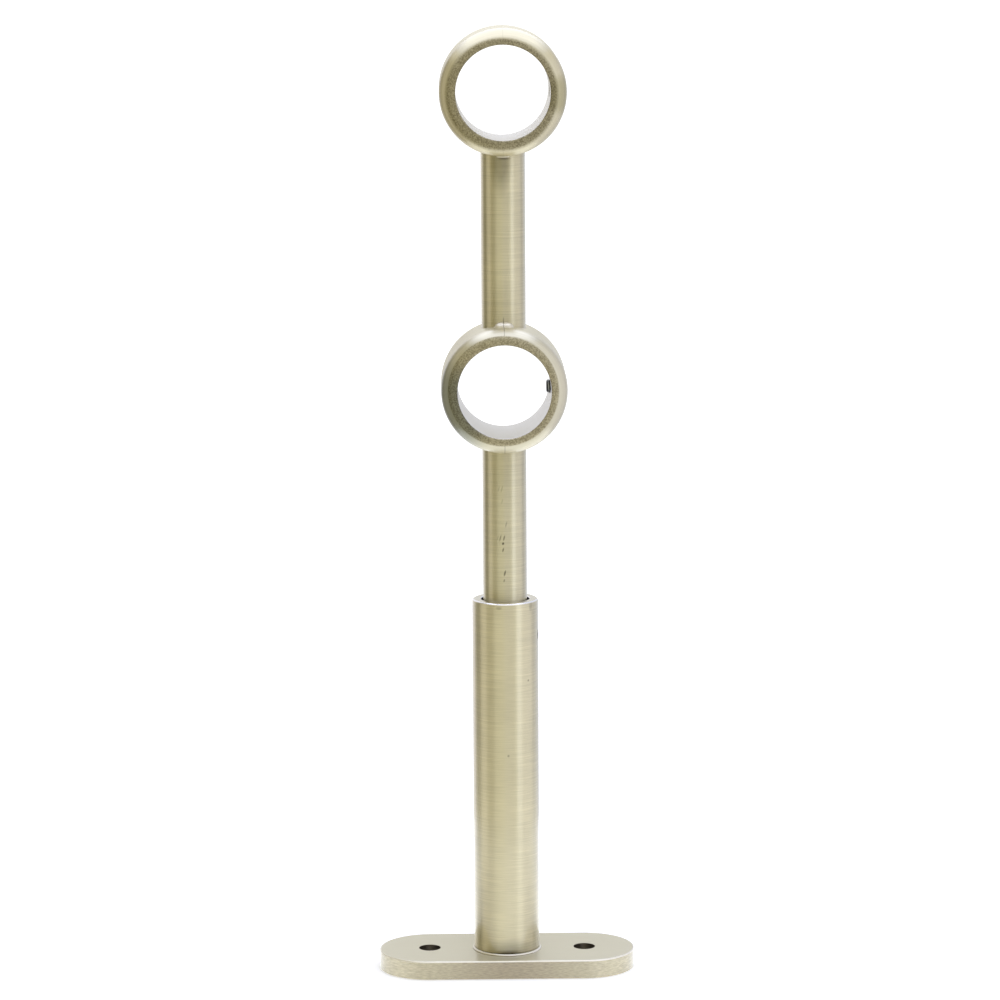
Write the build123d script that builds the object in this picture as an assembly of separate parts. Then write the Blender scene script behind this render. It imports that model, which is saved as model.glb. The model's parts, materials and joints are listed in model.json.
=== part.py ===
from build123d import *
import os
from math import sqrt

# Double curtain pole bracket that telescopes out from the wall, in millimetres.
# The origin is the centre of the plate's wall face. Z runs out from the wall, X along the plate and
# Y along the poles. On the wall X points down, so that the grub screws are reached from below.

# Wall plate: an oblong with round ends, and a low round seat for the tube
plate_length = 56.0
plate_width = 22.0
plate_thickness = 4.0
plate_edge_radius = 0.35
wall_hole_diameter = 4.7
seat_height = 0.4
seat_overhang = 0.4
seat_edge_land = 0.05

# Sliding rod, and the tube that it slides in
rod_diameter = 9.5
rod_clearance = 0.5
rod_inserted = 32.0
rod_end_chamfer = 0.5
tube_length = 77.9
tube_wall = 1.9
tube_mouth_radius = 0.6
tube_inner_chamfer = 0.2
tube_foot_chamfer = 0.25

# Pole rings, and the rods that stand in sockets in them
ring_bore = 20.0
ring_wall = 3.5
ring_width = 20.0
ring_face_land = 0.5
ring_bore_chamfer = 0.2
lower_rod_exposed = 32.8
upper_rod_exposed = 36.3
rod_socket_bite = 0.6
braze_gap = 0.05

# Grub screws, M3 with a cup point and a hexagon socket, both half as wide as the thread
grub_diameter = 3.0
grub_tip_chamfer = 0.35
grub_end_chamfer = 0.25
grub_cup_depth = 0.3
grub_socket_depth = 1.0
ring_grub_length = 3.0
lock_grub_length = 2.35
thread_clearance = 0.05
lower_grub_reach = 0.9
upper_grub_setback = 0.1
lock_grub_gap = 0.03
lock_grub_below_mouth = 8.0

# Plug in the foot of the tube, and the countersunk M5 screw that holds it from the wall side
plug_height = 12.0
plug_chamfer = 0.4
plug_press_gap = 0.01
plug_draw_gap = 0.2
foot_screw_diameter = 5.0
foot_screw_length = 12.0
foot_screw_head_diameter = 9.2
foot_screw_head_recess = 0.15
foot_screw_seat_gap = 0.05
foot_screw_hole_clearance = 0.2
foot_screw_end_chamfer = 0.5
foot_socket_width = 3.0
foot_socket_depth = 1.8

# Radii that follow from the sizes above
rod_radius = rod_diameter / 2
tube_bore_radius = rod_radius + rod_clearance
tube_radius = tube_bore_radius + tube_wall
ring_bore_radius = ring_bore / 2
ring_radius = ring_bore_radius + ring_wall
socket_radius = rod_radius + braze_gap
grub_radius = grub_diameter / 2
tapped_radius = grub_radius + thread_clearance
foot_screw_radius = foot_screw_diameter / 2
foot_screw_head_radius = foot_screw_head_diameter / 2

# Places that follow: heights above the wall, and how far a socket's floor lies from its ring's centre
tube_foot_z = plate_thickness + seat_height
tube_mouth_z = tube_foot_z + tube_length
lock_grub_z = tube_mouth_z - lock_grub_below_mouth
lower_ring_z = tube_mouth_z + lower_rod_exposed + ring_radius
upper_ring_z = lower_ring_z + upper_rod_exposed + 2 * ring_radius
socket_floor = sqrt(ring_radius**2 - socket_radius**2) - rod_socket_bite


def bar(radius, bottom, top):
    """Round bar along Z between two heights."""
    return Pos(0, 0, (bottom + top) / 2) * Cylinder(radius, top - bottom)


def upright_section(inner, outer, bottom, top):
    """Half section of a sleeve round Z, as a rectangle in the XZ plane."""
    middle = Pos((inner + outer) / 2, (bottom + top) / 2)
    return Plane.XZ * middle * Rectangle(outer - inner, top - bottom)


def corner(section, side, end):
    """Corner of an upright section: side 0 inner or -1 outer, end 0 bottom or -1 top."""
    return section.vertices().group_by(Axis.Z)[end].sort_by(Axis.X)[side]


def hexagon_prism(width, bottom, top):
    """Hexagon key hole along Z, given across its flats."""
    outline = RegularPolygon(width / 2, side_count=6, major_radius=False)
    return Pos(0, 0, bottom) * extrude(outline, top - bottom)


def tapped_hole(depth, z):
    """Tapped hole along X, from the middle out to the +X side."""
    return Pos(0, 0, z) * Rotation(0, 90, 0) * bar(tapped_radius, 0, depth)


def wall_plate():
    """Oblong plate with a raised seat, two wall holes and a countersunk hole from the wall side."""
    plate = extrude(SlotOverall(plate_length, plate_width), plate_thickness)
    plate = fillet(plate.edges().group_by(Axis.Z)[-1], plate_edge_radius)
    seat = bar(tube_radius + seat_overhang, 0, tube_foot_z)
    seat = fillet(seat.edges().group_by(Axis.Z)[-1], seat_height - seat_edge_land)
    plate = plate + seat

    # The wall holes are concentric with the round ends.
    round_end_x = (plate_length - plate_width) / 2
    for x in (-round_end_x, round_end_x):
        plate = plate - Pos(x, 0, 0) * bar(wall_hole_diameter / 2, 0, plate_thickness)

    # The countersink's 45 degree wall is the screw head's own, set back by the seat gap.
    hole_radius = foot_screw_radius + foot_screw_hole_clearance
    mouth_radius = foot_screw_head_radius + foot_screw_head_recess + foot_screw_seat_gap
    cone_height = mouth_radius - hole_radius
    countersink = Pos(0, 0, cone_height / 2) * Cone(mouth_radius, hole_radius, cone_height)
    return plate - countersink - bar(hole_radius, 0, tube_foot_z)


def outer_tube():
    """Tube with a rounded mouth, a broken edge at its foot and a tapped hole for the lock screw."""
    section = upright_section(tube_bore_radius, tube_radius, tube_foot_z, tube_mouth_z)
    section = fillet(corner(section, -1, -1), tube_mouth_radius)
    section = chamfer(corner(section, 0, -1), tube_inner_chamfer)
    section = chamfer(corner(section, -1, 0), tube_foot_chamfer)
    return revolve(section, Axis.Z) - tapped_hole(tube_radius, lock_grub_z)


def foot_plug():
    """Round plug with a tapped hole through it, drawn down by the foot screw."""
    bottom = tube_foot_z + plug_draw_gap
    radius = tube_bore_radius - plug_press_gap
    section = upright_section(foot_screw_radius + thread_clearance, radius, bottom, bottom + plug_height)
    section = chamfer(corner(section, -1, -1), plug_chamfer)
    section = chamfer(corner(section, -1, 0), plug_chamfer)
    return revolve(section, Axis.Z)


def foot_screw():
    """Countersunk screw with a 90 degree head, set just below the wall face."""
    head_z = foot_screw_head_recess
    neck_z = head_z + foot_screw_head_radius - foot_screw_radius
    end_z = head_z + foot_screw_length
    outline = Polyline(
        (0, head_z),
        (foot_screw_head_radius, head_z),
        (foot_screw_radius, neck_z),
        (foot_screw_radius, end_z - foot_screw_end_chamfer),
        (foot_screw_radius - foot_screw_end_chamfer, end_z),
        (0, end_z),
        close=True,
    )
    screw = revolve(Plane.XZ * make_face(outline), Axis.Z)
    return screw - hexagon_prism(foot_socket_width, head_z, head_z + foot_socket_depth)


def lower_rod():
    """Rod that slides in the tube, chamfered at its free end and seated in the lower ring."""
    rod = bar(rod_radius, tube_mouth_z - rod_inserted, lower_ring_z - socket_floor)
    return chamfer(rod.edges().group_by(Axis.Z)[0], rod_end_chamfer)


def upper_rod():
    """Rod between the two rings, seated in both."""
    return bar(rod_radius, lower_ring_z + socket_floor, upper_ring_z - socket_floor)


def pole_ring(z, socket_turns):
    """Turned ring for a pole along Y, with round outer edges, a tapped hole and rod sockets.

    A socket's turn about Y is 0 above the ring and 180 below it.
    """
    section = Pos(ring_bore_radius + ring_wall / 2, 0) * Rectangle(ring_wall, ring_width)
    section = fillet(section.vertices().group_by(Axis.X)[-1], ring_wall - ring_face_land)
    section = chamfer(section.vertices().group_by(Axis.X)[0], ring_bore_chamfer)
    ring = revolve(section, Axis.Y) - tapped_hole(ring_radius, 0)
    for turn in socket_turns:
        ring = ring - Rotation(0, turn, 0) * bar(socket_radius, socket_floor, ring_radius)
    return Pos(0, 0, z) * ring


def grub_screw(length, tip_x, z):
    """Grub screw along X whose cup point faces the middle."""
    cup_radius = grub_radius / 2
    outline = Polyline(
        (0, grub_cup_depth),
        (cup_radius, 0),
        (grub_radius - grub_tip_chamfer, 0),
        (grub_radius, grub_tip_chamfer),
        (grub_radius, length - grub_end_chamfer),
        (grub_radius - grub_end_chamfer, length),
        (0, length),
        close=True,
    )
    screw = revolve(Plane.XZ * make_face(outline), Axis.Z)
    screw = screw - hexagon_prism(grub_radius, length - grub_socket_depth, length)
    return Pos(tip_x, 0, z) * Rotation(0, 90, 0) * screw


nodes = {
    "wall_plate": wall_plate(),
    "outer_tube": outer_tube(),
    "foot_plug": foot_plug(),
    "foot_screw": foot_screw(),
    "tube_lock_screw": grub_screw(lock_grub_length, rod_radius + lock_grub_gap, lock_grub_z),
    "lower_rod": lower_rod(),
    "lower_ring": pole_ring(lower_ring_z, socket_turns=(0, 180)),
    "upper_rod": upper_rod(),
    "upper_ring": pole_ring(upper_ring_z, socket_turns=(180,)),
    "lower_ring_screw": grub_screw(ring_grub_length, ring_bore_radius - lower_grub_reach, lower_ring_z),
    "upper_ring_screw": grub_screw(ring_grub_length, ring_bore_radius + upper_grub_setback, upper_ring_z),
}

os.makedirs("parts", exist_ok=True)
for name, solid in nodes.items():
    export_step(solid, f"parts/{name}.step")
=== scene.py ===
import json
import math

import bpy
from mathutils import Matrix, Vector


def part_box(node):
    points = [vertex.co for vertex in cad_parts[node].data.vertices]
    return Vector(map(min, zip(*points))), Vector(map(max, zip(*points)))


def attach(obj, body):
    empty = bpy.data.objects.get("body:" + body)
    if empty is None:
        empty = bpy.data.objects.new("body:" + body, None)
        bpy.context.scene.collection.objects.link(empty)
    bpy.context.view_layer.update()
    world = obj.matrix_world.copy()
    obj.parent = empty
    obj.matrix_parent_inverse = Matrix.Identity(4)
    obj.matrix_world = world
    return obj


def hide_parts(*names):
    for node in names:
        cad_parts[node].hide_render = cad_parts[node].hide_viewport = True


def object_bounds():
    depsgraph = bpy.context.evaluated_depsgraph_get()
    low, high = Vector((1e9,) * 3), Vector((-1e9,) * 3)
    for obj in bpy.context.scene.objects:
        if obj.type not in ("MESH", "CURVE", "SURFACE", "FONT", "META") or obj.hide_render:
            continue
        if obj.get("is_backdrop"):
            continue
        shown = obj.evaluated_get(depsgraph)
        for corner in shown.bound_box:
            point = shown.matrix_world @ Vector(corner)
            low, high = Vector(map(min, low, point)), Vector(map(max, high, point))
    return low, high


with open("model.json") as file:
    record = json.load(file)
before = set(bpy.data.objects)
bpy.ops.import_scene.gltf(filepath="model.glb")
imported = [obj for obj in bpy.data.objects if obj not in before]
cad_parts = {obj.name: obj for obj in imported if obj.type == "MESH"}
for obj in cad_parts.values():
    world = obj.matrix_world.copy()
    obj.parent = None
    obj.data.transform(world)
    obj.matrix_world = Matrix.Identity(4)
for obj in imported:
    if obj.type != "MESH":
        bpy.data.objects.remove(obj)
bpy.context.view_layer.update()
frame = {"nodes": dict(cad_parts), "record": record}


# The wall plate: an oblong cut from steel plate, its top ground along its length, plated in antique brass
# and lacquered. The sides are streaked, painted darker than the top as shade, and darkest in the middle
# as a painted dark reflection. The rounded edges carry a painted highlight, and the wall holes are
# painted dark inside as shade.
mm = 0.001
nodes = frame["nodes"]
mounts = {mount["name"]: mount["dims"] for mount in frame["record"]["mounts"]}
wall_hole_x = mounts["wall_screws"]["spacing_x_mm"] / 2 * mm
wall_hole_radius = mounts["wall_screws"]["hole_r_mm"] * mm
bore_margin = 0.02 * mm  # a surface this close to a bore's radius is still the bore's wall
plate_line_spacing = 0.25 * mm  # the real lines are about 0.05 mm apart, drawn coarser so that they show
plate_line_length = 12 * mm
streak_height = 0.22 * mm
streak_length = 1.1 * mm
dark_middle_reach = 21 * mm


def linear(hex_colour):
    """sRGB hex colour as linear red, green, blue and alpha."""
    channels = [int(hex_colour[i:i + 2], 16) / 255 for i in (1, 3, 5)]
    return [c / 12.92 if c <= 0.04045 else ((c + 0.055) / 1.055) ** 2.4 for c in channels] + [1.0]


def add(tree, kind, inputs, **settings):
    """Adds a node with its settings. An input is given as a constant or as the output to link to it.

    A Mix node takes its share at input 0, numbers at 2 and 3, and colours at 6 and 7. The mixed number is
    its output 0, and the mixed colour its output 2.
    """
    node = tree.nodes.new(kind)
    for name, value in settings.items():
        setattr(node, name, value)
    for key, value in inputs.items():
        if isinstance(value, bpy.types.NodeSocket):
            tree.links.new(value, node.inputs[key])
        else:
            node.inputs[key].default_value = value
    return node


def new_material(name):
    """Material with an empty node tree, and that tree."""
    material = bpy.data.materials.new(name)
    material.use_nodes = True
    material.node_tree.nodes.clear()
    return material, material.node_tree


def dress(node_name, material):
    """Gives a CAD node one material on all its slots."""
    mesh = nodes[node_name].data
    mesh.materials.clear()
    mesh.materials.append(material)


def lacquered_metal(tree, colour, roughness, tangent, anisotropy, height, coat):
    """Brushed metal under clear lacquer, with reflections blurred along the tangent, across the lines."""
    line_depth = 0.01 * mm
    relief = add(tree, "ShaderNodeBump", {"Height": height, "Strength": 0.25, "Distance": line_depth})
    shader = add(tree, "ShaderNodeBsdfPrincipled", {
        "Base Color": colour,
        "Metallic": 1.0,
        "Roughness": roughness,
        "Anisotropic": anisotropy,
        "Tangent": tangent,
        "Normal": relief.outputs[0],
        "Coat Weight": coat,
        "Coat Roughness": 0.15,
    })
    add(tree, "ShaderNodeOutputMaterial", {"Surface": shader.outputs[0]})


ground_plate, tree = new_material("antique_brass_ground")
place = add(tree, "ShaderNodeTexCoord", {}).outputs["Object"]
stretched = add(tree, "ShaderNodeMapping", {
    "Vector": place,
    "Scale": (1 / plate_line_length, 1 / plate_line_spacing, 1 / plate_line_spacing),
})
plate_lines = add(tree, "ShaderNodeTexNoise", {
    "Vector": stretched.outputs[0], "Scale": 1.0, "Detail": 3.0,
})
along_side = add(tree, "ShaderNodeMapping", {
    "Vector": place, "Scale": (1 / streak_length, 1 / streak_length, 1 / streak_height),
})
streaks = add(tree, "ShaderNodeTexNoise", {"Vector": along_side.outputs[0], "Scale": 1.0, "Detail": 4.0})
streak_shade = add(tree, "ShaderNodeMapRange", {
    "Value": streaks.outputs[0], "From Min": 0.3, "From Max": 0.7, "To Min": 0.8, "To Max": 1.2,
})
one_side = add(tree, "ShaderNodeVectorMath", {0: place}, operation="ABSOLUTE")
off_centre = add(tree, "ShaderNodeSeparateXYZ", {0: one_side.outputs[0]}).outputs["X"]
# Painted dark reflection: the sides darken towards the middle of the plate.
painted_dark_middle = add(tree, "ShaderNodeMapRange", {"Value": off_centre, "From Min": dark_middle_reach, "From Max": 0.0},
             interpolation_type="SMOOTHSTEP")
normal = add(tree, "ShaderNodeNewGeometry", {}).outputs["Normal"]
upward = add(tree, "ShaderNodeSeparateXYZ", {0: normal}).outputs["Z"]
# Painted highlight: where the surface turns upward at the rounded edges, it is painted near white.
on_edge_highlight = add(tree, "ShaderNodeMapRange", {"Value": upward, "From Min": 0.1, "From Max": 0.35})
on_top = add(tree, "ShaderNodeMapRange", {"Value": upward, "From Min": 0.93, "From Max": 0.99})
# The sides' colours are painted darker than the top as shade; their streaks are the metal's own.
side_with_painted_shade = add(tree, "ShaderNodeMix", {
    0: painted_dark_middle.outputs[0], 6: linear("#B5AB8C"), 7: linear("#9B8E71"),
}, data_type="RGBA")
streaked = add(tree, "ShaderNodeVectorMath", {0: side_with_painted_shade.outputs[2], "Scale": streak_shade.outputs[0]},
               operation="SCALE")
side_and_edge_highlight = add(tree, "ShaderNodeMix", {
    0: on_edge_highlight.outputs[0], 6: streaked.outputs[0], 7: linear("#F3EDDA"),
}, data_type="RGBA")
top_metal = add(tree, "ShaderNodeMix", {
    0: plate_lines.outputs[0], 6: linear("#CBC5AA"), 7: linear("#D8D2B9"),
}, data_type="RGBA")
plate_metal = add(tree, "ShaderNodeMix", {
    0: on_top.outputs[0], 6: side_and_edge_highlight.outputs[2], 7: top_metal.outputs[2],
}, data_type="RGBA")
from_hole = add(tree, "ShaderNodeVectorMath", {0: one_side.outputs[0], 1: (wall_hole_x, 0.0, 0.0)},
                operation="SUBTRACT")
across_hole = add(tree, "ShaderNodeVectorMath", {0: from_hole.outputs[0], 1: (1.0, 1.0, 0.0)},
                  operation="MULTIPLY")
hole_distance = add(tree, "ShaderNodeVectorMath", {0: across_hole.outputs[0]}, operation="LENGTH")
outside_hole = add(tree, "ShaderNodeMath", {
    0: hole_distance.outputs["Value"], 1: wall_hole_radius + bore_margin,
}, operation="GREATER_THAN")
# Painted shade: the walls of the wall holes are painted dark.
colour = add(tree, "ShaderNodeMix", {
    0: outside_hole.outputs[0], 6: linear("#675E4F"), 7: plate_metal.outputs[2],
}, data_type="RGBA")
gloss = add(tree, "ShaderNodeMapRange", {"Value": plate_lines.outputs[0], "To Min": 0.42, "To Max": 0.5})
across_plate = add(tree, "ShaderNodeCombineXYZ", {"X": 0.0, "Y": 1.0, "Z": 0.3})
lacquered_metal(tree, colour.outputs[2], gloss.outputs[0], across_plate.outputs[0], 0.8,
                plate_lines.outputs[0], outside_hole.outputs[0])
dress("wall_plate", ground_plate)


# The outer tube: drawn steel tube, brushed round on a lathe with a fine abrasive, plated in antique brass
# and lacquered. The lines run round it, so it mirrors the room in upright bands. Its mouth carries a
# painted highlight, its bore is unplated and painted dark as shade, its front has small dark specks and
# stains, and its foot is painted darker as shade.
tube_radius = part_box("outer_tube")[1][0]
tube_bore_radius = 5.25 * mm

# Each mark: across, height, half width, half height, slant in degrees, darkness
tube_specks_and_shade = (
    (0.42 * mm, 48.8 * mm, 0.25 * mm, 0.3 * mm, 14, 0.4),
    (4.83 * mm, 65.1 * mm, 0.2 * mm, 0.25 * mm, 14, 0.5),
    (-1.5 * mm, 81.35 * mm, 0.7 * mm, 0.35 * mm, 0, 0.3),
    (5.4 * mm, 81.4 * mm, 0.4 * mm, 1.2 * mm, 0, 0.3),
    # The last two marks are painted shade at the tube's foot, just above the seat.
    (0.8 * mm, 4.4 * mm, 5.5 * mm, 3.0 * mm, 0, 0.38),
    (0.4 * mm, 4.4 * mm, 3.0 * mm, 0.9 * mm, 0, 0.7),
)


def brushed_round(name, colour, front_radius, bore_radius, marks):
    """Antique brass brushed round the Z axis, with a painted highlight on its mouth, a dark bore that is
    partly unplated and partly painted shade, and marks on its front, some of them painted shade and
    shadow.
    """
    line_spacing = 0.15 * mm  # the real lines are about 0.05 mm apart, drawn coarser so that they show
    line_length = 7 * mm
    cloud_size = 9 * mm
    tarnish_and_shade = linear("#4A432F")
    material, tree = new_material(name)
    place = add(tree, "ShaderNodeTexCoord", {}).outputs["Object"]
    stretched = add(tree, "ShaderNodeMapping", {
        "Vector": place, "Scale": (1 / line_length, 1 / line_length, 1 / line_spacing),
    })
    lines = add(tree, "ShaderNodeTexNoise", {"Vector": stretched.outputs[0], "Scale": 1.0, "Detail": 3.0})
    cloud = add(tree, "ShaderNodeTexNoise", {"Vector": place, "Scale": 1 / cloud_size, "Detail": 2.0})
    dull = add(tree, "ShaderNodeMapRange", {
        "Value": cloud.outputs[0], "From Min": 0.35, "From Max": 0.8, "To Max": 0.12,
    })
    metal = add(tree, "ShaderNodeMix", {0: dull.outputs[0], 6: linear(colour), 7: tarnish_and_shade},
                data_type="RGBA")
    # Marks darken towards the tarnish colour: some are real specks, stains and nicks, some are painted
    # shade and shadow.
    for x, z, half_width, half_height, slant, darkness in marks:
        from_mark = add(tree, "ShaderNodeMapping", {
            "Vector": place,
            "Location": (x, -front_radius, z),
            "Rotation": (0.0, math.radians(slant), 0.0),
            "Scale": (half_width, front_radius, half_height),
        }, vector_type="TEXTURE")
        distance = add(tree, "ShaderNodeVectorMath", {0: from_mark.outputs[0]}, operation="LENGTH")
        in_mark = add(tree, "ShaderNodeMapRange", {
            "Value": distance.outputs["Value"], "From Min": 1.2, "From Max": 0.5, "To Max": darkness,
        })
        metal = add(tree, "ShaderNodeMix", {0: in_mark.outputs[0], 6: metal.outputs[2], 7: tarnish_and_shade},
                    data_type="RGBA")
    line_shade = add(tree, "ShaderNodeMapRange", {
        "Value": lines.outputs[0], "From Min": 0.3, "From Max": 0.7, "To Min": 0.9, "To Max": 1.1,
    })
    brushed = add(tree, "ShaderNodeVectorMath", {0: metal.outputs[2], "Scale": line_shade.outputs[0]},
                  operation="SCALE")
    gloss = add(tree, "ShaderNodeMapRange", {"Value": lines.outputs[0], "To Min": 0.42, "To Max": 0.5})

    normal = add(tree, "ShaderNodeNewGeometry", {}).outputs["Normal"]
    upward = add(tree, "ShaderNodeSeparateXYZ", {0: normal}).outputs["Z"]
    on_mouth = add(tree, "ShaderNodeMapRange", {"Value": upward, "From Min": 0.4, "From Max": 0.75})
    # Painted highlight: the upward-facing mouth is painted near white.
    outside = add(tree, "ShaderNodeMix", {
        0: on_mouth.outputs[0], 6: brushed.outputs[0], 7: linear("#F0EEEA"),
    }, data_type="RGBA")
    all_gloss = add(tree, "ShaderNodeMix", {0: on_mouth.outputs[0], 2: gloss.outputs[0], 3: 0.25})
    anisotropy = add(tree, "ShaderNodeMapRange", {
        "Value": on_mouth.outputs[0], "To Min": 0.95, "To Max": 0.0,
    })
    from_axis = add(tree, "ShaderNodeVectorMath", {0: place, 1: (1.0, 1.0, 0.0)}, operation="MULTIPLY")
    radius = add(tree, "ShaderNodeVectorMath", {0: from_axis.outputs[0]}, operation="LENGTH")
    off_bore = add(tree, "ShaderNodeMath", {0: radius.outputs["Value"], 1: bore_radius},
                   operation="GREATER_THAN")
    # The bore is unplated steel, and its dark colour also paints the shade inside the tube.
    shade = add(tree, "ShaderNodeMix", {
        0: off_bore.outputs[0], 6: linear("#2A251B"), 7: outside.outputs[2],
    }, data_type="RGBA")
    along_axis = add(tree, "ShaderNodeCombineXYZ", {"X": 0.0, "Y": 0.0, "Z": 1.0})
    lacquered_metal(tree, shade.outputs[2], all_gloss.outputs[0], along_axis.outputs[0],
                    anisotropy.outputs[0], lines.outputs[0], off_bore.outputs[0])
    return material


tube_finish = brushed_round(
    "antique_brass_tube", "#D7CCA3", tube_radius, tube_bore_radius + bore_margin, tube_specks_and_shade,
)
dress("outer_tube", tube_finish)


# The plug in the tube's foot and the countersunk screw that holds it from the wall side: turned steel,
# bright zinc plated, with a faint bluish cast. Only the screw's head shows, at the plate's wall face.
zinc_grain = 0.4 * mm

zinc_plate, tree = new_material("zinc_plated_steel")
place = add(tree, "ShaderNodeTexCoord", {}).outputs["Object"]
spangle = add(tree, "ShaderNodeTexNoise", {"Vector": place, "Scale": 1 / zinc_grain, "Detail": 3.0})
zinc_colour = add(tree, "ShaderNodeMix", {
    0: spangle.outputs[0], 6: linear("#B9BDC4"), 7: linear("#D6D8DC"),
}, data_type="RGBA")
zinc_gloss = add(tree, "ShaderNodeMapRange", {
    "Value": spangle.outputs[0], "To Min": 0.22, "To Max": 0.36,
})
shader = add(tree, "ShaderNodeBsdfPrincipled", {
    "Base Color": zinc_colour.outputs[2],
    "Metallic": 1.0,
    "Roughness": zinc_gloss.outputs[0],
})
add(tree, "ShaderNodeOutputMaterial", {"Surface": shader.outputs[0]})
for name in ("foot_plug", "foot_screw"):
    dress(name, zinc_plate)


# The two rods: cold drawn steel bar with the tube's finish. The upper one stands between the rings, with
# a short painted shadow of the lower ring's parting line at its foot, a painted shadow line under its
# head bead, and painted shade below its head, under the upper ring. The lower one slides in the tube, and
# sliding has nicked its front.
rod_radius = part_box("lower_rod")[1][0]

# Each mark is given as on the tube.
rod_nicks = (
    (-1.3 * mm, 107.0 * mm, 0.16 * mm, 0.7 * mm, 14, 0.2),
    (-0.65 * mm, 107.0 * mm, 0.16 * mm, 0.8 * mm, 14, 0.25),
    (-0.6 * mm, 104.3 * mm, 0.16 * mm, 0.6 * mm, 14, 0.2),
    (0.24 * mm, 99.3 * mm, 0.16 * mm, 0.7 * mm, 14, 0.35),
    (-1.6 * mm, 96.3 * mm, 0.16 * mm, 0.6 * mm, 14, 0.25),
    (-1.02 * mm, 96.3 * mm, 0.18 * mm, 0.75 * mm, 14, 0.5),
    (-0.22 * mm, 96.3 * mm, 0.18 * mm, 0.65 * mm, 14, 0.65),
    (-0.45 * mm, 95.1 * mm, 0.26 * mm, 0.32 * mm, 14, 0.9),
    (-0.45 * mm, 93.7 * mm, 0.18 * mm, 0.5 * mm, 14, 0.7),
    (-0.09 * mm, 88.6 * mm, 0.2 * mm, 0.7 * mm, 14, 0.75),
    (-0.24 * mm, 87.0 * mm, 0.18 * mm, 0.4 * mm, 14, 0.5),
)
rod_painted_shade = (
    # Painted shadow of the lower ring's parting line at the rod's foot.
    (-0.1 * mm, 143.2 * mm, 0.13 * mm, 0.9 * mm, 0, 0.45),
    # Painted shadow line under the head bead.
    (0.2 * mm, 177.75 * mm, 1.5 * mm, 0.2 * mm, 0, 0.6),
    # Painted shade under the upper ring, darkest just below it.
    (-0.5 * mm, 177.0 * mm, 2.1 * mm, 6.5 * mm, 0, 0.4),
)

dress("lower_rod", brushed_round("antique_brass_sliding_rod", "#D4CAA2", rod_radius, 0.0, rod_nicks))
dress("upper_rod", brushed_round("antique_brass_rod", "#D5CA9F", rod_radius, 0.0, rod_painted_shade))


# The brazing: two small lumpy beads at the front of the upper rod, at its foot and its head, where it is
# joined to the rings. They are plated in antique brass and lacquered with the rest, and a painted shadow
# of the lower ring's parting line runs dark over the foot bead, fading towards the upper ring.
bead_grain = 0.3 * mm
bead_lump = 0.06 * mm
parting_shadow_x = -0.1 * mm
parting_shadow_half_width = 0.12 * mm
lower_ring_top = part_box("lower_ring")[1][2]
upper_ring_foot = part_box("upper_ring")[0][2]

bead_brass, tree = new_material("antique_brass_brazing")
place = add(tree, "ShaderNodeTexCoord", {}).outputs["Object"]
filing = add(tree, "ShaderNodeTexNoise", {"Vector": place, "Scale": 1 / bead_grain, "Detail": 3.0})
bead_metal = add(tree, "ShaderNodeMix", {
    0: filing.outputs[0], 6: linear("#C6BC9B"), 7: linear("#E2DBC5"),
}, data_type="RGBA")
across = add(tree, "ShaderNodeSeparateXYZ", {0: place})
# Painted shadow of the lower ring's parting line, darkest near the lower ring.
off_parting_shadow = add(tree, "ShaderNodeMath", {0: across.outputs["X"], 1: parting_shadow_x}, operation="SUBTRACT")
beside_parting_shadow = add(tree, "ShaderNodeMath", {0: off_parting_shadow.outputs[0]}, operation="ABSOLUTE")
parting_shadow_darkness = add(tree, "ShaderNodeMapRange", {
    "Value": across.outputs["Z"], "From Min": upper_ring_foot, "From Max": lower_ring_top, "To Max": 0.6,
})
on_parting_shadow = add(tree, "ShaderNodeMapRange", {
    "Value": beside_parting_shadow.outputs[0],
    "From Min": parting_shadow_half_width,
    "From Max": parting_shadow_half_width / 2,
    "To Max": parting_shadow_darkness.outputs[0],
})
bead_colour = add(tree, "ShaderNodeMix", {
    0: on_parting_shadow.outputs[0], 6: bead_metal.outputs[2], 7: linear("#4F472F"),
}, data_type="RGBA")
bead_gloss = add(tree, "ShaderNodeMapRange", {"Value": filing.outputs[0], "To Min": 0.4, "To Max": 0.55})
along_rod = add(tree, "ShaderNodeCombineXYZ", {"X": 0.0, "Y": 0.0, "Z": 1.0})
lacquered_metal(tree, bead_colour.outputs[2], bead_gloss.outputs[0], along_rod.outputs[0], 0.0,
                filing.outputs[0], 1.0)

# Squareness goes from 0, an ellipsoid, to 1, a block.
for name, z, sunk, half_width, half_depth, half_height, squareness in (
    ("foot_bead", lower_ring_top - 0.8 * mm, 0.0, 2.3 * mm, 1.6 * mm, 1.9 * mm, 0.15),
    ("head_bead", upper_ring_foot + 0.15 * mm, 0.5 * mm, 1.6 * mm, 0.8 * mm, 0.6 * mm, 0.5),
):
    bpy.ops.object.select_all(action="DESELECT")
    bpy.ops.mesh.primitive_uv_sphere_add(
        segments=48, ring_count=24, radius=1, location=(0, sunk - rod_radius, z),
    )
    bead = bpy.context.object
    bead.name = name
    bpy.ops.object.modifier_add(type="CAST")
    squared = bead.modifiers[0]
    squared.cast_type = "CUBOID"
    squared.factor = squareness
    bpy.ops.object.modifier_apply(modifier=squared.name)
    bpy.ops.transform.resize(value=(half_width, half_depth, half_height))
    bpy.ops.object.transform_apply(location=True, rotation=True, scale=True)
    bpy.ops.object.mode_set(mode="EDIT")
    bpy.ops.mesh.select_all(action="SELECT")
    bpy.ops.transform.vertex_random(offset=bead_lump, uniform=0.0, normal=1.0, seed=7)
    bpy.ops.mesh.vertices_smooth(factor=0.5, repeat=3)
    bpy.ops.object.mode_set(mode="OBJECT")
    bpy.ops.object.shade_smooth()
    bead.data.materials.append(bead_brass)
    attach(bead, "rod_side")


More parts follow.
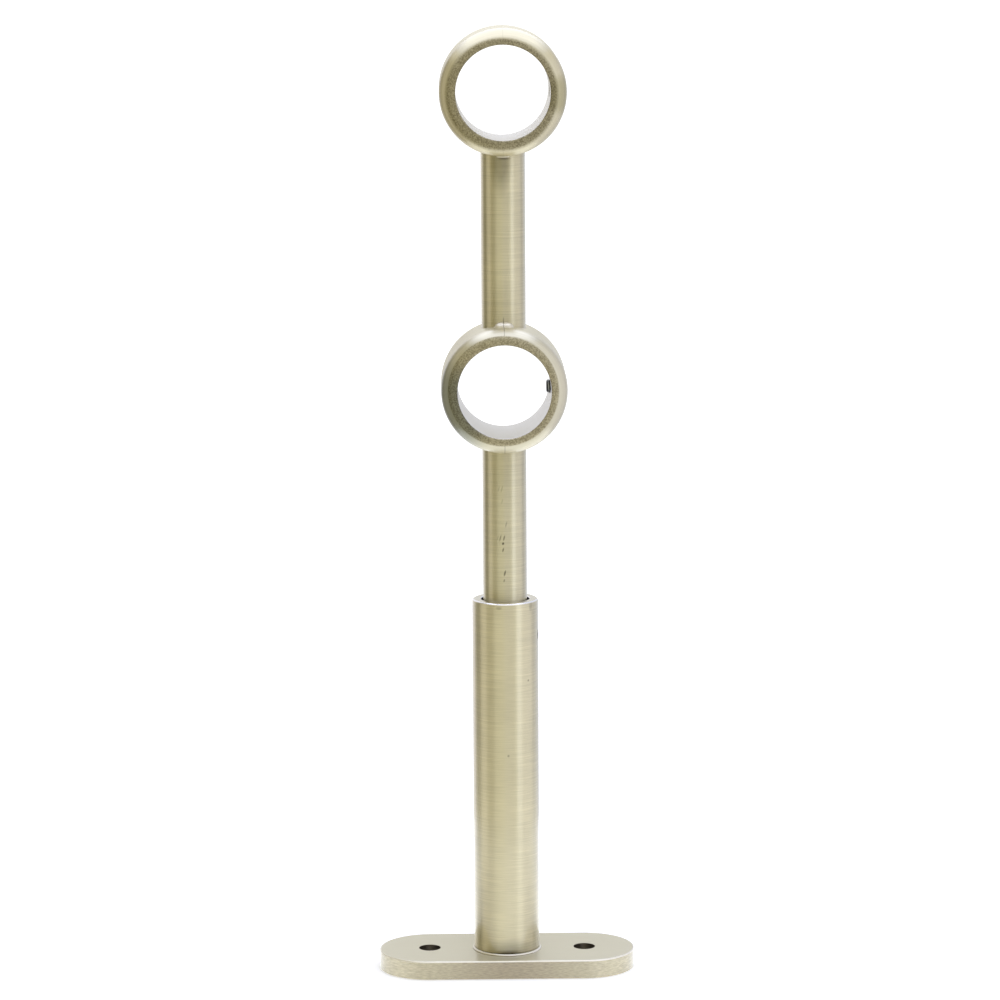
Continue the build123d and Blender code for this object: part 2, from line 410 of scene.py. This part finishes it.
# The pole rings: turned from steel and plated in antique brass like the rods. The outside is smooth and
# brushed round, the end faces keep a dark grain near the bore, which reaches over the rounded edge as a
# painted dark reflection, and the bore itself is bright. A fine parting line runs along the top and the
# bottom of each, and each front is darker on one side, partly tarnish and partly painted shade.
ring_bore_radius = mounts["upper_pole"]["r_mm"] * mm
# Each ring's tarnish colour darkens one side of its front, partly as tarnish and partly as painted shade.
ring_looks = {
    "lower_ring": {
        "skin": "#CFC7A9",
        "bore": "#E8E6E4",
        "face_x": -0.25 * mm,
        "face_z": 0.22 * mm,
        "face_fade": 0.12 * mm,
        "face_light": "#B9AF8C",
        "face_dark": "#8C8263",
        "parting": 0.5,
        "tarnish_and_shade": "#B7BEC4",
        "angle": 198,
        "reach": 60,
    },
    "upper_ring": {
        "skin": "#CEC4A0",
        "bore": "#EFEBE2",
        "face_x": -0.3 * mm,
        "face_z": -0.35 * mm,
        "face_fade": 0.35 * mm,
        "face_light": "#A99F7C",
        "face_dark": "#7E7455",
        "parting": 0.12,
        "tarnish_and_shade": "#DDDCCC",
        "angle": -2,
        "reach": 23,
    },
}


def ring_material(name, centre_z, skin, bore, face_x, face_z, face_fade, face_light, face_dark, parting,
                  tarnish_and_shade, angle, reach):
    """Antique brass for a ring round the Y axis at a height, with colours for outside, bore and faces.

    The dark zone of the faces is a circle shifted from the bore by face_x and face_z, with a soft edge.
    Its grain is the faces' own, and where it reaches over the rounded edge it is a painted dark
    reflection.
    Parting is the parting line's strength. The tarnish tint darkens one side of the front, partly as
    tarnish and partly as painted shade, round an angle in degrees from +X towards +Z. It is full to a
    third of its reach, in degrees, and then fades.
    """
    face_radius = 11.8 * mm
    face_grain = 0.28 * mm
    parting_half_width = 0.1 * mm
    tarnish_and_shade_start = -2 * mm  # the tint, partly tarnish and partly painted shade, grows from here towards the front
    tarnish_and_shade_full = -8 * mm
    line_spacing = 0.3 * mm  # the real lines are about 0.05 mm apart, drawn coarser so that they show
    line_length = 12 * mm
    material, tree = new_material(name)
    place = add(tree, "ShaderNodeTexCoord", {}).outputs["Object"]
    from_centre = add(tree, "ShaderNodeVectorMath", {0: place, 1: (0.0, 0.0, -centre_z)}, operation="ADD")
    outward = add(tree, "ShaderNodeVectorMath", {0: from_centre.outputs[0], 1: (1.0, 0.0, 1.0)},
                  operation="MULTIPLY")
    radius = add(tree, "ShaderNodeVectorMath", {0: outward.outputs[0]}, operation="LENGTH")
    round_the_ring = add(tree, "ShaderNodeVectorMath", {0: outward.outputs[0], 1: (0.0, 1.0, 0.0)},
                         operation="CROSS_PRODUCT")
    stretched = add(tree, "ShaderNodeVectorMath", {
        0: from_centre.outputs[0], 1: (1 / line_length, 1 / line_spacing, 1 / line_length),
    }, operation="MULTIPLY")
    depth = add(tree, "ShaderNodeMath", {0: radius.outputs["Value"], 1: line_spacing}, operation="DIVIDE")
    lines = add(tree, "ShaderNodeTexNoise", {
        "Vector": stretched.outputs[0], "W": depth.outputs[0], "Scale": 1.0, "Detail": 3.0,
    }, noise_dimensions="4D")
    line_shade = add(tree, "ShaderNodeMapRange", {
        "Value": lines.outputs[0], "From Min": 0.3, "From Max": 0.7, "To Min": 0.94, "To Max": 1.06,
    })
    brushed = add(tree, "ShaderNodeVectorMath", {0: linear(skin)[:3], "Scale": line_shade.outputs[0]},
                  operation="SCALE")

    across = add(tree, "ShaderNodeSeparateXYZ", {0: place})
    off_line = add(tree, "ShaderNodeMath", {0: across.outputs["X"]}, operation="ABSOLUTE")
    on_line = add(tree, "ShaderNodeMapRange", {
        "Value": off_line.outputs[0], "From Min": parting_half_width, "From Max": parting_half_width / 2,
        "To Max": parting,
    })
    outside = add(tree, "ShaderNodeMix", {
        0: on_line.outputs[0], 6: brushed.outputs[0], 7: linear("#4F472F"),
    }, data_type="RGBA")

    grain = add(tree, "ShaderNodeTexNoise", {"Vector": place, "Scale": 1 / face_grain, "Detail": 3.0})
    grain_shade = add(tree, "ShaderNodeMapRange", {
        "Value": grain.outputs[0], "From Min": 0.38, "From Max": 0.62,
    })
    face = add(tree, "ShaderNodeMix", {
        0: grain_shade.outputs[0], 6: linear(face_light), 7: linear(face_dark),
    }, data_type="RGBA")
    # The dark zone is the faces' own grain, and where it reaches over the rounded edge it is a painted
    # dark reflection.
    from_zone = add(tree, "ShaderNodeVectorMath", {0: outward.outputs[0], 1: (-face_x, 0.0, -face_z)},
                    operation="ADD")
    zone_radius = add(tree, "ShaderNodeVectorMath", {0: from_zone.outputs[0]}, operation="LENGTH")
    on_face = add(tree, "ShaderNodeMapRange", {
        "Value": zone_radius.outputs["Value"], "From Min": face_radius + face_fade,
        "From Max": face_radius - face_fade,
    })
    ring = add(tree, "ShaderNodeMix", {0: on_face.outputs[0], 6: outside.outputs[2], 7: face.outputs[2]},
               data_type="RGBA")
    # Partly tarnish, partly painted shade: one side of the front is tinted darker.
    on_front = add(tree, "ShaderNodeMapRange", {
        "Value": across.outputs["Y"], "From Min": tarnish_and_shade_start, "From Max": tarnish_and_shade_full,
    })
    tarnish_and_shade_middle = math.radians(angle)
    direction = add(tree, "ShaderNodeVectorMath", {0: outward.outputs[0]}, operation="NORMALIZE")
    towards = add(tree, "ShaderNodeVectorMath", {
        0: direction.outputs[0], 1: (math.cos(tarnish_and_shade_middle), 0.0, math.sin(tarnish_and_shade_middle)),
    }, operation="DOT_PRODUCT")
    tarnished_and_shaded = add(tree, "ShaderNodeMapRange", {
        "Value": towards.outputs["Value"], "From Min": math.cos(math.radians(reach)),
        "From Max": math.cos(math.radians(reach / 3)), "To Max": on_front.outputs[0],
    }, interpolation_type="SMOOTHSTEP")
    tint = add(tree, "ShaderNodeMix", {0: tarnished_and_shaded.outputs[0], 6: linear("#FFFFFF"), 7: linear(tarnish_and_shade)},
               data_type="RGBA")
    tinted = add(tree, "ShaderNodeVectorMath", {0: ring.outputs[2], 1: tint.outputs[2]},
                 operation="MULTIPLY")
    off_bore = add(tree, "ShaderNodeMath", {
        0: radius.outputs["Value"], 1: ring_bore_radius + bore_margin,
    }, operation="GREATER_THAN")
    colour = add(tree, "ShaderNodeMix", {0: off_bore.outputs[0], 6: linear(bore), 7: tinted.outputs[0]},
                 data_type="RGBA")
    gloss = add(tree, "ShaderNodeMapRange", {"Value": on_face.outputs[0], "To Min": 0.38, "To Max": 0.45})
    anisotropy = add(tree, "ShaderNodeMapRange", {
        "Value": on_face.outputs[0], "To Min": 0.8, "To Max": 0.0,
    })
    normal = add(tree, "ShaderNodeNewGeometry", {}).outputs["Normal"]
    across_lines = add(tree, "ShaderNodeVectorMath", {0: normal, 1: round_the_ring.outputs[0]},
                       operation="CROSS_PRODUCT")
    relief = add(tree, "ShaderNodeMix", {0: on_face.outputs[0], 2: lines.outputs[0], 3: grain.outputs[0]})
    lacquered_metal(tree, colour.outputs[2], gloss.outputs[0], across_lines.outputs[0],
                    anisotropy.outputs[0], relief.outputs[0], 0.6)
    return material


for name, look in ring_looks.items():
    low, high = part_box(name)
    dress(name, ring_material("antique_brass_" + name, (low[2] + high[2]) / 2, **look))


# The grub screws: M3, hardened steel with a black oxide finish and a rolled thread. One holds the rod in
# the tube, and one in each ring clamps its pole. Each is the plain solid, trimmed to a threaded bar.
thread_pitch = 0.5 * mm
thread_depth = 0.3 * mm
thread_crest = 0.35  # width of the crest, as a share of the pitch
thread_overlap = 0.03 * mm  # the thread's crest stands out this far, so that the blank cuts it flat
thread_steps = 40
spare_turns = 3  # half of them beyond each end of the screw
grub_radius = 1.5 * mm
merge_distance = 0.001 * mm
smooth_angle = math.radians(30)


def grub_material(name, z):
    """Black oxide on steel for a grub screw along X at a height, with a painted highlight on its thread's
    crests.
    """
    grit = 0.15 * mm
    highlight_from = 0.2 * mm  # depths below the crest
    highlight_to = 0.08 * mm
    material, tree = new_material(name)
    place = add(tree, "ShaderNodeTexCoord", {}).outputs["Object"]
    speckle = add(tree, "ShaderNodeTexNoise", {"Vector": place, "Scale": 1 / grit, "Detail": 3.0})
    oxide = add(tree, "ShaderNodeMix", {
        0: speckle.outputs[0], 6: linear("#1B1B1C"), 7: linear("#333230"),
    }, data_type="RGBA")
    from_axis = add(tree, "ShaderNodeVectorMath", {0: place, 1: (0.0, 0.0, -z)}, operation="ADD")
    outward = add(tree, "ShaderNodeVectorMath", {0: from_axis.outputs[0], 1: (0.0, 1.0, 1.0)},
                  operation="MULTIPLY")
    radius = add(tree, "ShaderNodeVectorMath", {0: outward.outputs[0]}, operation="LENGTH")
    # Painted highlight: the thread's crests are painted light grey.
    on_crest = add(tree, "ShaderNodeMapRange", {
        "Value": radius.outputs["Value"], "From Min": grub_radius - highlight_from,
        "From Max": grub_radius - highlight_to,
    })
    colour = add(tree, "ShaderNodeMix", {
        0: on_crest.outputs[0], 6: oxide.outputs[2], 7: linear("#A3A5A1"),
    }, data_type="RGBA")
    gloss = add(tree, "ShaderNodeMapRange", {"Value": speckle.outputs[0], "To Min": 0.25, "To Max": 0.45})
    shader = add(tree, "ShaderNodeBsdfPrincipled", {
        "Base Color": colour.outputs[2],
        "Metallic": 0.9,
        "Roughness": gloss.outputs[0],
    })
    add(tree, "ShaderNodeOutputMaterial", {"Surface": shader.outputs[0]})
    return material


def make_active(piece):
    """Leaves one object selected, and active."""
    bpy.ops.object.select_all(action="DESELECT")
    piece.select_set(True)
    bpy.context.view_layer.objects.active = piece


def select_vertices(piece, wanted):
    """Selects, in edit mode, the vertices whose place passes the test."""
    bpy.ops.mesh.select_all(action="DESELECT")
    bpy.ops.object.mode_set(mode="OBJECT")
    for vertex in piece.data.vertices:
        vertex.select = wanted(vertex.co)
    bpy.ops.object.mode_set(mode="EDIT")


def thread_bar(start_x, end_x, z):
    """Closed threaded bar along X, a little longer than the screw that is cut from it."""
    root = grub_radius - thread_depth
    crest = grub_radius + thread_overlap
    turns = math.ceil((end_x - start_x) / thread_pitch) + spare_turns
    bpy.ops.object.select_all(action="DESELECT")
    bpy.ops.mesh.primitive_plane_add(
        size=thread_pitch, location=(start_x - spare_turns / 2 * thread_pitch, 0, z),
    )
    bar = bpy.context.object

    # The plane becomes one turn's profile: two flanks and a crest, with the root side open.
    bpy.ops.object.mode_set(mode="EDIT")
    bpy.ops.mesh.delete(type="ONLY_FACE")
    bpy.ops.mesh.select_all(action="SELECT")
    bpy.ops.transform.resize(value=(1, (crest - root) / thread_pitch, 1))
    bpy.ops.transform.translate(value=(0, (crest + root) / 2, 0))
    middle = (crest + root) / 2
    select_vertices(bar, lambda place: place.y < middle)
    bpy.ops.mesh.select_mode(type="EDGE")
    bpy.ops.mesh.delete(type="EDGE")
    bpy.ops.mesh.select_mode(type="VERT")
    select_vertices(bar, lambda place: place.y > middle)
    bpy.ops.transform.resize(value=(thread_crest, 1, 1))
    bpy.ops.object.mode_set(mode="OBJECT")

    bpy.ops.object.modifier_add(type="SCREW")
    screw = bar.modifiers[0]
    screw.axis = "X"
    screw.screw_offset = thread_pitch
    screw.iterations = turns
    screw.steps = thread_steps
    screw.render_steps = thread_steps
    screw.use_merge_vertices = True
    screw.merge_threshold = merge_distance
    bpy.ops.object.modifier_apply(modifier=screw.name)
    bpy.ops.object.transform_apply(location=True, rotation=True, scale=True)
    bpy.ops.object.mode_set(mode="EDIT")
    bpy.ops.mesh.select_all(action="SELECT")
    bpy.ops.mesh.remove_doubles(threshold=merge_distance)
    bpy.ops.mesh.select_all(action="SELECT")
    bpy.ops.mesh.fill_holes(sides=0)
    bpy.ops.mesh.select_all(action="SELECT")
    bpy.ops.mesh.normals_make_consistent(inside=False)
    bpy.ops.object.mode_set(mode="OBJECT")
    return bar


for node_name, body in (
    ("tube_lock_screw", "lock_screw"),
    ("lower_ring_screw", "lower_screw"),
    ("upper_ring_screw", "upper_screw"),
):
    low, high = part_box(node_name)
    middle_z = (low[2] + high[2]) / 2
    bar = thread_bar(low[0], high[0], middle_z)
    grub = bpy.data.objects.new(node_name + "_threaded", nodes[node_name].data.copy())
    bpy.context.scene.collection.objects.link(grub)
    make_active(grub)
    bpy.ops.object.mode_set(mode="EDIT")
    bpy.ops.mesh.select_all(action="SELECT")
    bpy.ops.mesh.remove_doubles(threshold=merge_distance)
    bpy.ops.object.mode_set(mode="OBJECT")
    bpy.ops.object.modifier_add(type="BOOLEAN")
    cut = grub.modifiers[0]
    cut.operation = "INTERSECT"
    cut.solver = "EXACT"
    cut.object = bar
    bpy.ops.object.modifier_apply(modifier=cut.name)
    bpy.data.objects.remove(bar)
    bpy.ops.object.shade_smooth_by_angle(angle=smooth_angle)
    grub.data.materials.clear()
    grub.data.materials.append(grub_material("black_oxide_" + node_name, middle_z))
    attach(grub, body)
    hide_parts(node_name)


# The studio: a white table under a white ceiling lamp, inside a white room. Grey and dark cards stand
# round the object, as the open front and the sides of a small light tent do, and a bright strip stands
# in its front right corner. The metal mirrors them as upright bands.
tent_radius = 135 * mm
tent_height = 268 * mm
ceiling_height = 320 * mm
ceiling_width = 300 * mm
ceiling_front = 172 * mm
ceiling_back = 240 * mm
ceiling_strength = 2.6
ceiling_fade = (0.3, 0.5)  # the lamp dims between these distances from its middle, in lamp widths
floor_size = 20.0
floor_gap = 0.2 * mm
shadow_reach = 40 * mm
white_reach = 110 * mm  # the table grows whiter from the shadow's reach to here


def light_material(name, colour, strength):
    """Plain emission."""
    material, tree = new_material(name)
    glow = add(tree, "ShaderNodeEmission", {"Color": linear(colour), "Strength": strength})
    add(tree, "ShaderNodeOutputMaterial", {"Surface": glow.outputs[0]})
    return material


def studio_card(name, width, height, matrix, material):
    """Card that lights the object and shows in its reflections, and that the camera doesn't see."""
    bpy.ops.object.select_all(action="DESELECT")
    bpy.ops.mesh.primitive_plane_add(size=1)
    card = bpy.context.object
    card.name = name
    card.matrix_world = matrix @ Matrix.Diagonal((width, height, 1, 1))
    card.data.materials.append(material)
    card.visible_camera = False
    card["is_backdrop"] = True


ceiling_light, tree = new_material("ceiling_light")
place = add(tree, "ShaderNodeTexCoord", {}).outputs["Object"]
across = add(tree, "ShaderNodeSeparateXYZ", {0: place})
off_middle = add(tree, "ShaderNodeMath", {0: across.outputs["X"]}, operation="ABSOLUTE")
strength = add(tree, "ShaderNodeMapRange", {
    "Value": off_middle.outputs[0], "From Min": ceiling_fade[0], "From Max": ceiling_fade[1],
    "To Min": ceiling_strength, "To Max": 0.5 * ceiling_strength,
})
glow = add(tree, "ShaderNodeEmission", {"Color": linear("#DBE2FF"), "Strength": strength.outputs[0]})
add(tree, "ShaderNodeOutputMaterial", {"Surface": glow.outputs[0]})
studio_card(
    "ceiling", ceiling_width, ceiling_front + ceiling_back,
    Matrix.Translation((0, (ceiling_back - ceiling_front) / 2, ceiling_height)), ceiling_light,
)
upright = Matrix.Rotation(math.radians(90), 4, "X")

# Each card stands between two angles, in degrees round from the front.
for name, start, end, colour, strength in (
    ("back_left", -165, -134, "#F4F4FF", 1.12),
    ("left_edge", -134, -122, "#FFFFFF", 0.66),
    ("dark_left", -122, -96, "#FFFAE2", 0.34),
    ("grey_left", -96, -70, "#FFFBF1", 0.83),
    ("front_left_edge", -70, -40, "#FFF8D3", 0.47),
    ("front_left", -40, -4, "#FFFDEA", 0.75),
    ("front_right", -4, 38, "#FFFFFF", 0.74),
    ("bright_strip", 38, 57, "#E7ECFF", 1.72),
    ("right", 57, 102, "#ECEEFF", 1.2),
    ("grey_right", 102, 122, "#E8EBFF", 0.9),
    ("back_right", 122, 160, "#E8EDFF", 1.02),
    ("back", 160, 195, "#FFFDF4", 0.71),
):
    middle = math.radians((start + end) / 2)
    half = math.radians((end - start) / 2)
    turned = Matrix.Rotation(middle, 4, "Z")
    at_front = Matrix.Translation((0, -tent_radius * math.cos(half), tent_height / 2))
    studio_card(
        name, 2 * tent_radius * math.sin(half), tent_height, turned @ at_front @ upright,
        light_material(name + "_card", colour, strength),
    )

white_floor, tree = new_material("white_table")
rays = add(tree, "ShaderNodeLightPath", {})
place = add(tree, "ShaderNodeTexCoord", {}).outputs["Object"]
from_middle = add(tree, "ShaderNodeVectorMath", {0: place}, operation="LENGTH")
whitening = add(tree, "ShaderNodeMapRange", {
    "Value": from_middle.outputs["Value"], "From Min": shadow_reach, "From Max": white_reach,
    "To Min": 0.38, "To Max": 0.62,
})
glow_strength = add(tree, "ShaderNodeMapRange", {
    "Value": rays.outputs["Is Camera Ray"], "To Min": 0.9, "To Max": whitening.outputs[0],
})
glow_colour = add(tree, "ShaderNodeMix", {
    0: rays.outputs["Is Camera Ray"], 6: linear("#EBF2FF"), 7: linear("#FFFFFF"),
}, data_type="RGBA")
glow = add(tree, "ShaderNodeEmission", {
    "Color": glow_colour.outputs[2], "Strength": glow_strength.outputs[0],
})
matt = add(tree, "ShaderNodeBsdfDiffuse", {"Color": linear("#ECECEC")})
both = add(tree, "ShaderNodeAddShader", {0: glow.outputs[0], 1: matt.outputs[0]})
add(tree, "ShaderNodeOutputMaterial", {"Surface": both.outputs[0]})
bpy.ops.object.select_all(action="DESELECT")
bpy.ops.mesh.primitive_plane_add(size=floor_size, location=(0, 0, -floor_gap))
floor = bpy.context.object
floor.name = "studio_floor"
floor.data.materials.append(white_floor)
floor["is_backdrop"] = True

world = bpy.data.worlds.new("white_room")
bpy.context.scene.world = world
world.use_nodes = True
tree = world.node_tree
tree.nodes.clear()
rays = add(tree, "ShaderNodeLightPath", {})
seen = add(tree, "ShaderNodeMath", {0: rays.outputs["Is Camera Ray"], 1: rays.outputs["Is Glossy Ray"]},
           operation="MAXIMUM")
seen = add(tree, "ShaderNodeMath", {0: seen.outputs[0], 1: rays.outputs["Is Transmission Ray"]},
           operation="MAXIMUM")
strength = add(tree, "ShaderNodeMapRange", {"Value": seen.outputs[0], "To Min": 0.8, "To Max": 1.0})
sky = add(tree, "ShaderNodeBackground", {"Color": linear("#FFFFFF"), "Strength": strength.outputs[0]})
add(tree, "ShaderNodeOutputWorld", {"Surface": sky.outputs[0]})
bpy.context.scene.view_settings.view_transform = "Standard"


# The camera: a short telephoto view from a little above the top ring, as in the photograph. It was fitted
# to the outlines of the rings, the tube, the plate and its holes.
camera_lens = 134.6
camera_sensor = 36
camera_near = 10 * mm
camera_distance = 796.3 * mm
camera_height = 236.98 * mm
camera_swing = math.radians(-0.926)
camera_yaw = math.radians(-0.855)
camera_pitch = math.radians(9.493)
camera_roll = math.radians(-0.334)

camera = bpy.data.objects.new("camera", bpy.data.cameras.new("camera"))
bpy.context.scene.collection.objects.link(camera)
camera.data.lens = camera_lens
camera.data.sensor_width = camera_sensor
camera.data.clip_start = camera_near
camera_place = (
    camera_distance * math.sin(camera_swing),
    -camera_distance * math.cos(camera_swing),
    camera_height,
)
camera.matrix_world = (
    Matrix.Translation(camera_place)
    @ Matrix.Rotation(camera_yaw, 4, "Z")
    @ Matrix.Rotation(math.radians(90) - camera_pitch, 4, "X")
    @ Matrix.Rotation(camera_roll, 4, "Z")
)
bpy.context.scene.camera = camera

low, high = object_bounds()
